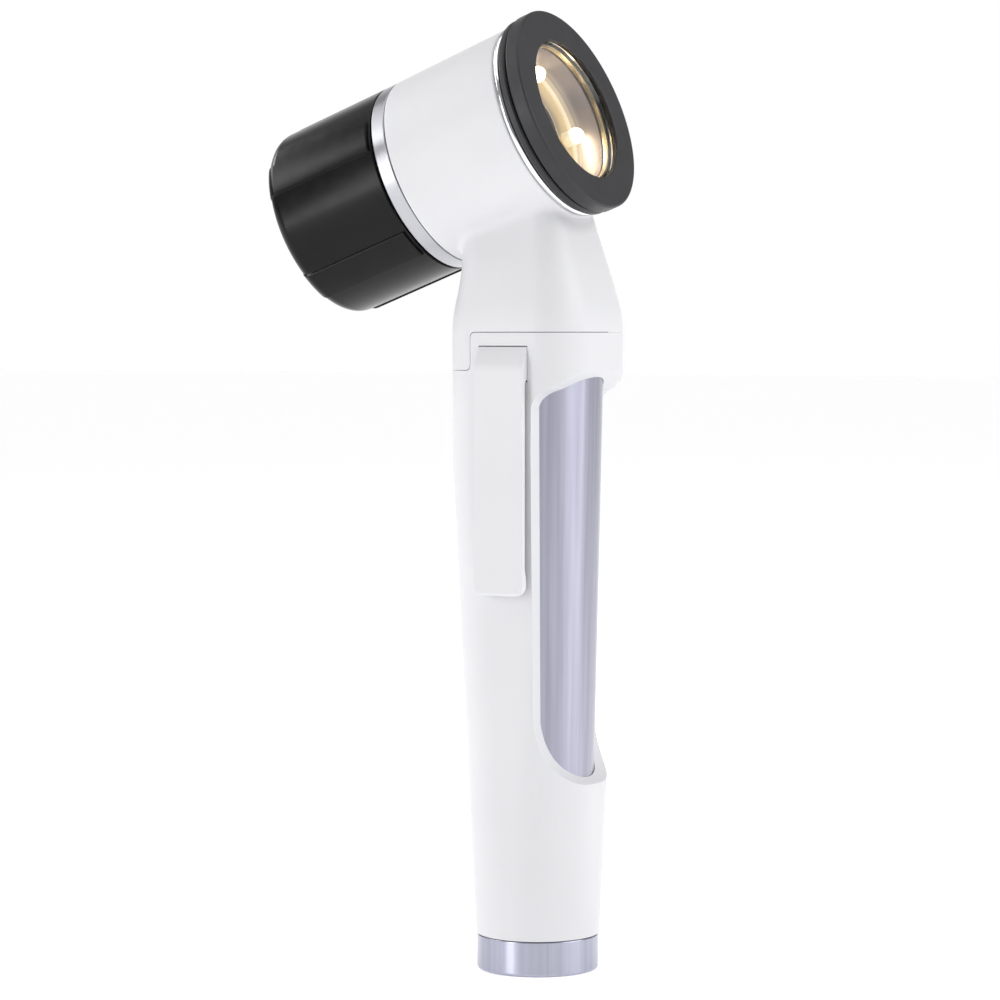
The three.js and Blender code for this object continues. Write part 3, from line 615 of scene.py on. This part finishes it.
def back_step():
    """What the step for the head's rear tongue takes out of the casing."""
    low, high, front, r = TONGUE_BOTTOM - SEAM / 2, PARTING - SEAM / 2, TONGUE_FRONT, TONGUE_ROUNDING
    return prism("back_step", [
        (-BEYOND, low),
        (front - r, low),
        *curve((front - r, low), (front, low), (front, low + r)),
        (front, high - r),
        *curve((front, high - r), (front, high), (front + r, high)),
        (front + r, BEYOND_TOP),
        (-BEYOND, BEYOND_TOP),
    ], -BEYOND, BEYOND, "Y")


def clip_slot():
    """The slot for the clip's root, as narrow as the joint lines that show."""
    clip_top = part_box("pocket_clip")[1].z / MM
    return block(
        "clip_slot",
        (-CLIP_HALF_WIDTH - SEAM / 2, -BEYOND, BARREL_TOP + 0.1),
        (CLIP_HALF_WIDTH + SEAM / 2, -SOCKET_HALF + 1, clip_top + SEAM / 5),
    )


def make_casing():
    """The handle's casing, with the barrel's cavity, the window, the socket and the slots."""
    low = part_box("handle_casing")[0].z / MM - GAP + SEAM
    high = PARTING - SEAM / 2
    edge = 0.35  # rounding of the bottom edge
    levels = [low + (CASING_SQUARE_FROM - low) * part / 4 for part in range(1, 5)]
    casing = loft("casing", [
        casing_ring(low, edge),
        casing_ring(low + 0.1, 0.12),
        casing_ring(low + edge),
        *(casing_ring(level) for level in levels),
        casing_ring(high - 0.08),
        casing_ring(high, 0.08),
    ])
    (_, foot, foot_place), (_, rim, rim_place) = barrel_ends()
    slope = (rim - foot) / (rim_place - foot_place)
    cavity = revolve("cavity", [
        (0, 0),
        (foot - slope * foot_place + SEAM, 0),
        (rim + SEAM, rim_place + GAP),
        (0, rim_place + GAP),
    ], HANDLE, TOOL_SIDES, True)
    cut(casing, cavity, prism("window", window_outline(), -BEYOND, BEYOND, "Y"))
    soften(casing, CASING_ROUNDING)
    socket = loft("socket", [
        square_ring(height, SOCKET_HALF, SOCKET_CORNER) for height in (rim_place + GAP, BEYOND_TOP)])
    cut(casing, socket, back_step(), clip_slot())
    shade(casing)
    dress(casing, "handle", WHITE, "white_plastic", "handle_casing")


def make_barrel():
    """The battery barrel, its rim cut down at the head's tongue and beside the clip's root."""
    (bore, foot, foot_place), (rim_bore, rim, rim_place) = barrel_ends()
    outline = [(bore, foot_place), (foot, foot_place), (rim, rim_place), (rim_bore, rim_place)]
    barrel = revolve("barrel", rounded(outline, 0.2), HANDLE)
    behind, beside, above = TONGUE_FRONT + 2 * GAP, CLIP_HALF_WIDTH + 3 * GAP, rim_place + 2
    cut(barrel,
        block("tongue_room", (-BEYOND, -BEYOND, BARREL_TOP), (behind, BEYOND, above)),
        block("clip_room", (-beside, -BEYOND, BARREL_TOP), (beside, 0, above)))
    shade(barrel, 30)
    dress(barrel, "handle", BARREL_METAL, "satin_aluminium", "battery_barrel")


# -------------------------------------------------------------------- white head

def shell_facts():
    """The round shell's ends along the head's axis and its radii there, from the frame."""
    points = [p for p in points_in("head_housing", HEAD) if p.x < 0]
    rear = min(p.z for p in points)
    nose = max(p.z for p in points)

    def radius(place):
        return max(math.hypot(p.x, p.y) for p in points if abs(p.z - place) < 0.5)

    longer = GAP - SEAM
    return {"places": (rear - longer, nose + longer / 2), "radii": (radius(rear), radius(nose))}


SHELL = shell_facts()


def neck_section(height):
    """The neck's back, front, half width and corner radius at each height, blended smoothly."""
    table = np.array(NECK_LEVELS)
    shifts = np.linspace(-NECK_BLEND, NECK_BLEND, 7)
    return [
        np.mean([np.interp(height + shift, table[:, 0], column) for shift in shifts], axis=0)
        for column in table[:, 1:].T
    ]


def head_distance(points):
    """How far points are outside the head's outer form, in millimetres, with a small fillet."""
    x, y, z = points.T
    back, front, half, corner = neck_section(z)
    across = np.abs(x - (front + back) / 2) - ((front - back) / 2 - corner)
    aside = np.abs(y) - (half - corner)
    neck = np.hypot(np.maximum(across, 0), np.maximum(aside, 0)) - corner
    neck = np.maximum(neck + np.minimum(np.maximum(across, aside), 0), z - NECK_TOP)
    own = np.array(HEAD.inverted())
    local = points @ own[:3, :3].T + own[:3, 3] / MM
    radius = np.interp(local[:, 2], SHELL["places"], SHELL["radii"])
    shell = np.hypot(local[:, 0], local[:, 1]) - radius
    part = np.clip(0.5 + 0.5 * (shell - neck) / HEAD_FILLET, 0, 1)
    return shell * (1 - part) + neck * part - HEAD_FILLET * part * (1 - part)


def settle(piece):
    """Moves a remeshed head's vertices onto its exact outer form."""
    points = np.array([v.co for v in piece.data.vertices]) / MM
    reach = 0.05  # for measuring the slope
    longest = 0.6  # that a vertex may move in one round
    for _ in range(5):
        value = head_distance(points)
        slope = np.stack([
            (head_distance(points + step) - head_distance(points - step)) / (2 * reach)
            for step in np.eye(3) * reach
        ], axis=1)
        size = np.maximum((slope ** 2).sum(axis=1), 0.25)
        move = slope * (value / size)[:, None]
        length = np.linalg.norm(move, axis=1)
        points -= move * np.minimum(1, longest / np.maximum(length, 1e-9))[:, None]
    piece.data.vertices.foreach_set("co", (points * MM).ravel())


def close_end(bm, place, outward):
    """Cuts the round shell square at one place and closes it with a rounded rim."""
    rim = RIM_ROUNDING
    steps = 4
    along = HEAD.to_3x3() @ Vector((0, 0, outward))
    clear_of_neck = 130 * MM
    part = [v for v in bm.verts if v.co.z > clear_of_neck]
    part += [e for e in bm.edges if all(v.co.z > clear_of_neck for v in e.verts)]
    part += [f for f in bm.faces if all(v.co.z > clear_of_neck for v in f.verts)]
    centre = HEAD @ Vector((0, 0, (place - outward * rim) * MM))
    cut_made = bmesh.ops.bisect_plane(
        bm, geom=part, plane_co=centre, plane_no=along, clear_outer=True)
    edges = [e for e in cut_made["geom_cut"] if isinstance(e, bmesh.types.BMEdge)]
    spots = {v: v.co.copy() for e in edges for v in e.verts}
    for step in range(1, steps + 1):
        angle = step / steps * math.pi / 2
        made = bmesh.ops.extrude_edge_only(bm, edges=edges)["geom"]
        edges = [e for e in made if isinstance(e, bmesh.types.BMEdge)]
        fresh = {}
        for vertex in {v for e in edges for v in e.verts}:
            origin = min(
                (spots[v] for v in (e.other_vert(vertex) for e in vertex.link_edges) if v in spots),
                key=lambda spot: (spot - vertex.co).length)
            outer = origin - centre
            outer -= along * outer.dot(along)
            fresh[vertex] = origin
            vertex.co = (
                origin + along * rim * MM * math.sin(angle)
                - outer.normalized() * rim * MM * (1 - math.cos(angle))
            )
        spots = fresh
    bmesh.ops.contextual_create(bm, geom=edges)


def step_outline():
    """Everything under the joint between head and handle, from the side, with its step."""
    front, low, high = TONGUE_FRONT - SEAM, TONGUE_BOTTOM + SEAM / 2, PARTING + SEAM / 2
    r = TONGUE_ROUNDING
    below = 90
    return [
        (BEYOND, below),
        (BEYOND, high),
        (front + r, high),
        *curve((front + r, high), (front, high), (front, high - r)),
        (front, low + r),
        *curve((front, low + r), (front, low), (front - r, low)),
        (-BEYOND, low),
        (-BEYOND, below),
    ]


def neck_loft(name, levels, inset=0.0):
    """A closed body through some of the neck's levels, with the lowest moved down to its foot."""
    foot = (NECK_FOOT, *levels[0][1:])
    return loft(name, [
        ring_points(height, back + inset, front - inset, half - inset, corner - inset)
        for height, back, front, half, corner in (foot, *levels[1:])
    ])


def head_body():
    """The neck and the round shell as one closed skin, before it is cut and hollowed."""
    head = neck_loft("head", NECK_LEVELS)
    rear, nose = SHELL["places"]
    small, large = SHELL["radii"]
    longer = 4
    outline = [(0, rear - longer), (small, rear - longer), (large, nose + longer), (0, nose + longer)]
    shell = revolve("shell", outline, HEAD, TOOL_SIDES, True)
    shell.data.transform(HEAD)
    bm = bmesh.new()
    bm.from_mesh(head.data)
    bm.from_mesh(shell.data)
    bm.to_mesh(head.data)
    bm.free()
    bpy.data.objects.remove(shell)
    skin = head.modifiers.new("skin", "REMESH")
    skin.mode = "VOXEL"
    skin.voxel_size = 0.7 * MM
    apply_modifiers(head)
    settle(head)
    return head


def make_head():
    """The head's white housing: the neck, its rear tongue and the round shell."""
    head = head_body()
    rear, nose = SHELL["places"]
    rework(head, lambda bm: close_end(bm, rear, -1))
    rework(head, lambda bm: close_end(bm, nose, 1))
    hollow = neck_loft("hollow", NECK_LEVELS[:-1], SHELL_WALL)
    low, high = -40, 20  # beyond both ends of the round shell
    outline = [(0, low), (HEAD_BORE, low), (HEAD_BORE, high), (0, high)]
    bore = revolve("bore", outline, HEAD, TOOL_SIDES, True)
    cut(head, prism("step", step_outline(), -BEYOND, BEYOND, "Y"), hollow, bore)
    shade(head)
    dress(head, "head", WHITE, "white_plastic", "head_housing")


# -------------------------------------------------------------------- pocket clip

def clip_side(low, high):
    """The clip's outline from the side, as (place along Y, height); it is rooted in the slot."""
    inner = CLIP_OUTER + CLIP_THICKNESS
    root, waist, foot = -12.9, -11.7, BARREL_TOP + 0.45
    return [
        # out of the slot, down the ramp and the outer face
        (-CASING_HALF, high - 0.18),
        (-CASING_HALF - 0.4, high - 0.8),
        (CLIP_OUTER + 0.3, CLIP_RAMP_END + 0.6),
        (CLIP_OUTER, CLIP_RAMP_END - 1),
        (CLIP_OUTER, low + 1),
        # round the lower end and its grip, and up the inner face
        *curve((CLIP_OUTER, low + 1), (CLIP_OUTER, low), (CLIP_OUTER + 0.6, low), 4),
        (inner + 0.2, low),
        *curve((inner + 0.2, low), (inner + 0.9, low + 2.4), (inner, low + 5), 8),
        # under the root and back up inside the slot
        (inner, foot - 0.75),
        (inner + 0.5, foot),
        (waist, foot),
        (waist, CLIP_RAMP_END - 0.1),
        (root, CLIP_RAMP_END + 0.3),
        (root, high - 0.07),
    ]


def clip_nick(way, low):
    """What rounds one of the clip's lower corners; the way is -1 or 1."""
    edge, start = way * CLIP_HALF_WIDTH, way * (CLIP_HALF_WIDTH - CLIP_CORNER)
    return prism("nick", [
        (edge + way, low - 1),
        (start, low - 1),
        (start, low),
        *curve((start, low), (edge, low), (edge, low + CLIP_CORNER), 8),
        (edge + way, low + CLIP_CORNER),
    ], -BEYOND, -5, "Y")


def make_clip():
    """The pocket clip, with its top edge left sharp where it meets the casing."""
    low, high = (corner.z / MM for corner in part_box("pocket_clip"))
    clip = prism("clip", clip_side(low, high), -CLIP_HALF_WIDTH, CLIP_HALF_WIDTH, "X")
    cut(clip, clip_nick(-1, low), clip_nick(1, low))
    top = (high - 0.2) * MM
    soften(clip, 0.3, lambda edge: all(v.co.z > top for v in edge.verts))
    shade(clip)
    dress(clip, "clip", WHITE, "white_plastic", "pocket_clip")


# ----------------------------------------------------------------- focusing ring

def rib_lift(angle):
    """How far the rib stands at an angle, from 0 between ribs to 1 on a rib."""
    pitch = 2 * math.pi / RIB_COUNT
    off = abs((angle - RIB_FIRST + pitch / 2) % pitch - pitch / 2)
    slope = 1.0 * DEGREE  # width of a rib's side
    t = min(1, max(0, (RIB_WIDTH / 2 + slope / 2 - off) / slope))
    return t * t * (3 - 2 * t)


def focus_angles():
    """Angles round the focusing ring, close together at the ribs' sides."""
    angles = {round(step * 2.5 * DEGREE, 6) for step in range(144)}
    for rib in range(RIB_COUNT):
        for way in (-1, 1):
            side = RIB_FIRST + rib * 2 * math.pi / RIB_COUNT + way * RIB_WIDTH / 2
            for step in range(-4, 5):
                angles.add(round((side + step * 0.2 * DEGREE) % (2 * math.pi), 6))
    return sorted(angles)


def focus_outline(rear, front):
    """The focusing ring's outline as (radius, place, share of the rib's height)."""
    edge = 2.4  # rounding at the eye end
    floor = 4.2  # depth of the eye end's recess
    outline = []
    for step in range(7):
        angle = step / 6 * math.pi / 2
        outline.append((
            FOCUS_RADIUS - edge + edge * math.sin(angle),
            rear + edge - edge * math.cos(angle),
            math.sin(angle),
        ))
    outline += [
        (FOCUS_RADIUS, front - 0.75, 1),
        (FOCUS_RADIUS, front - 0.6, 0.85),
        (FOCUS_RADIUS, front - 0.5, 0),
        (FOCUS_RADIUS, front - 0.2, 0),
        (FOCUS_RADIUS - 0.2, front, 0),
        (BARREL_ROOM, front, 0),
        (BARREL_ROOM, rear + floor + 0.9, 0),
        (EYE_OPENING, rear + floor + 0.9, 0),
        (EYE_OPENING, rear + floor, 0),
    ]
    grooves = 6
    for groove in range(1, grooves):
        radius = EYE_OPENING + (EYE_RECESS - EYE_OPENING) * groove / grooves
        place = rear + floor * (1 - groove / grooves)
        outline += [(radius - 0.05, place + 0.25, 0), (radius + 0.15, place + 0.2, 0)]
    outline += [(EYE_RECESS, rear + 0.25, 0), (EYE_RECESS + 0.3, rear, 0)]
    return outline


def make_focus_ring():
    """The focusing ring with its raised ribs and the grooved recess at the eye end."""
    points = points_in("focus_ring", HEAD)
    outline = focus_outline(min(p.z for p in points), max(p.z for p in points))
    angles = focus_angles()
    vertices = []
    for angle in angles:
        lift = RIB_HEIGHT * rib_lift(angle)
        for radius, place, share in outline:
            reach = radius + lift * share
            vertices.append((reach * math.cos(angle), reach * math.sin(angle), place))
    ring = new_piece("focusing_ring", vertices, turned_faces(len(angles), len(outline)), HEAD)
    shade(ring, 30)
    dress(ring, "focus", BLACK_SATIN, "black_plastic", "focus_ring")


# --------------------------------------------------------------- turned pieces

TURNED = (
    # node, body, own frame, finish, slot, edge rounding in millimetres
    ("end_cap", "end_cap", HANDLE, CAP_METAL, "satin_aluminium", 0.2),
    ("trim_band", "head", HEAD, BAND_METAL, "satin_aluminium", 0.2),
    ("trim_bead", "head", HEAD, CHROME, "chrome_trim", 0.4),
    ("ring_seat", "head", HEAD, BLACK_GRAIN, "black_plastic", 0.2),
    ("light_cone", "head", HEAD, CONE_METAL, "satin_aluminium", 0.1),
    ("led_board", "head", HEAD, LAMP_PLATE, "circuit_board", 0.1),
    ("contact_ring", "contact", HEAD, BLACK_GRAIN, "black_plastic", 0.25),
    ("contact_glass", "contact", HEAD, CLEAR_GLASS, "lens_glass", 0.12),
    ("glass_retainer", "contact", HEAD, LAMP_PLATE, "satin_aluminium", 0.1),
    ("lens_front", "lens", HEAD, LENS_GLASS, "lens_glass", 0.05),
    ("lens_rear", "lens", HEAD, LENS_GLASS, "lens_glass", 0.05),
    ("lens_retainer", "lens", HEAD, BRASS, "brass_contacts", 0.1),
)


def make_turned():
    """The turned pieces, each with its own body, finish and edge rounding."""
    for node, body, own, finish, slot, fillet in TURNED:
        piece = turned_copy(node, own, fillet)
        shade(piece, 30)
        dress(piece, body, finish, slot, node)


def make_lamps():
    """The four lamps, each turned round its own middle."""
    for node in ("led_lower", "led_right", "led_upper", "led_left"):
        points = points_in(node, HEAD)
        middle = sum(points, Vector()) / len(points)
        own = HEAD @ Matrix.Translation((middle.x * MM, middle.y * MM, 0))
        piece = turned_copy(node, own, 0.1, SMALL_SIDES)
        shade(piece, 30)
        dress(piece, "head", LAMP, "lamp_dome", node)


# ------------------------------------------------------ nodes kept as they are

KEPT = {
    "battery_liner": GREY,
    "cell_lower": SLEEVE,
    "cell_upper": SLEEVE,
    "contact_holder": GREY,
    "top_contact": BRASS,
    "contact_plate": BRASS,
    "battery_spring": STEEL,
    "cap_seal": BLACK_RUBBER,
    "clip_pin": STEEL,
    "clip_spring": STEEL,
    "switch_plunger": BLACK_SATIN,
    "switch_body": GREY,
    "neck_plug": GREY,
    "contact_pin": BRASS,
    "driver_board": BOARD,
    "inner_barrel": GREY,
    "lens_carrier": BLACK_GRAIN,
    "lens_spacer": BLACK_GRAIN,
    "cam_pin_lower": STEEL,
    "cam_pin_upper": STEEL,
}


def finish_kept_nodes():
    """Gives the frame's own small solids their finishes."""
    for node, finish in KEPT.items():
        piece = frame["nodes"][node]
        for place in piece.material_slots:
            place.material = finish


# ----------------------------------------------------------- floor, lights, view

CAMERA_AZIMUTH = 28.4 * DEGREE
CAMERA_DISTANCE = 0.636  # metres, like the next three
CAMERA_HEIGHT = 0.1187
CAMERA_AIM = 0.0875  # height of the point it looks at
SIDESTEP = -0.00707  # to the right of the handle's axis
CAMERA_LENS = 123.2  # focal length in millimetres, on a sensor 36 wide
LIGHT_AIM = 0.09  # height of the point that the lights look at, in metres

TOWARDS_CAMERA = Vector((math.sin(CAMERA_AZIMUTH), -math.cos(CAMERA_AZIMUTH), 0))
TO_THE_RIGHT = Vector((math.cos(CAMERA_AZIMUTH), math.sin(CAMERA_AZIMUTH), 0))

SOFTBOXES = (
    # name, degrees to the right of the camera, height, distance and size in metres, watts
    ("key", -54, 0.28, 0.9, (0.22, 0.54), 2.4),
    ("upper_left", -112, 0.62, 0.85, (1.0, 0.25), 4.0),
    ("right", 76, 0.60, 0.9, (0.8, 0.6), 6.5),
)


def aim(thing, target):
    """Turns a camera or light to look at a point."""
    thing.rotation_euler = (Vector(target) - thing.location).to_track_quat("-Z", "Y").to_euler()


def make_camera():
    """The camera from the photo's side."""
    data = bpy.data.cameras.new("camera")
    data.lens = CAMERA_LENS
    data.sensor_width = 36
    camera = bpy.data.objects.new("camera", data)
    bpy.context.scene.collection.objects.link(camera)
    aside = TO_THE_RIGHT * SIDESTEP
    camera.location = TOWARDS_CAMERA * CAMERA_DISTANCE + aside + Vector((0, 0, CAMERA_HEIGHT))
    aim(camera, aside + Vector((0, 0, CAMERA_AIM)))
    bpy.context.scene.camera = camera


def softbox(name, turn, height, distance, size, power):
    """A soft light that looks at the object."""
    angle = turn * DEGREE
    away = TOWARDS_CAMERA * math.cos(angle) + TO_THE_RIGHT * math.sin(angle)
    data = bpy.data.lights.new(name, "AREA")
    data.shape = "RECTANGLE"
    data.size, data.size_y = size
    data.energy = power
    light = bpy.data.objects.new(name, data)
    bpy.context.scene.collection.objects.link(light)
    light.location = away * distance + Vector((0, 0, height))
    aim(light, (0, 0, LIGHT_AIM))


def make_floor():
    """A plain pale table, lit evenly."""
    data = bpy.data.meshes.new("floor")
    half = 8  # metres
    corners = [(-half, -half, 0), (half, -half, 0), (half, half, 0), (-half, half, 0)]
    data.from_pydata(corners, [], [(0, 1, 2, 3)])
    floor = bpy.data.objects.new("floor", data)
    bpy.context.scene.collection.objects.link(floor)
    data.materials.append(plain(
        "lit_table", (0.9, 0.9, 0.9), 0.7,
        Specular_IOR_Level=0.2, Emission_Color=(1, 1, 1, 1), Emission_Strength=0.40))


def overhead_light(strength):
    """Soft light from straight above, the same all over the floor."""
    data = bpy.data.lights.new("overhead", "SUN")
    data.energy = strength
    data.angle = 60 * DEGREE
    light = bpy.data.objects.new("overhead", data)
    bpy.context.scene.collection.objects.link(light)


def make_surroundings():
    """Pale surroundings, white behind the object and darker at its sides and by the camera."""
    world = bpy.data.worlds.new("studio")
    bpy.context.scene.world = world
    world.use_nodes = True
    nodes, links = world.node_tree.nodes, world.node_tree.links
    place = nodes.new("ShaderNodeTexCoord")
    facing = nodes.new("ShaderNodeVectorMath")
    facing.operation = "DOT_PRODUCT"
    facing.inputs[1].default_value = -TOWARDS_CAMERA
    spread = nodes.new("ShaderNodeMapRange")
    spread.inputs["From Min"].default_value = -1
    spread.inputs["From Max"].default_value = 1
    ramp = nodes.new("ShaderNodeValToRGB")
    # place from the camera's side (0) to behind the object (1), and brightness there
    stops = ((0.0, 0.28), (0.45, 0.36), (0.7, 0.28), (0.88, 0.34), (0.97, 1.0))
    places = ramp.color_ramp.elements
    while len(places) < len(stops):
        places.new(0.5)
    for element, (position, grey) in zip(places, stops):
        element.position = position
        element.color = (grey, grey, grey, 1)
    links.new(place.outputs["Generated"], facing.inputs[0])
    links.new(facing.outputs["Value"], spread.inputs["Value"])
    links.new(spread.outputs["Result"], ramp.inputs["Fac"])
    links.new(ramp.outputs["Color"], nodes["Background"].inputs["Color"])


def make_studio():
    """A lit pale table in pale surroundings, with soft lights at both sides."""
    make_floor()
    make_surroundings()
    overhead_light(0.9)
    for values in SOFTBOXES:
        softbox(*values)
    bpy.context.scene.view_settings.view_transform = "Standard"


make_camera()
make_studio()
make_casing()
make_barrel()
make_head()
make_clip()
make_focus_ring()
make_turned()
make_lamps()
finish_kept_nodes()
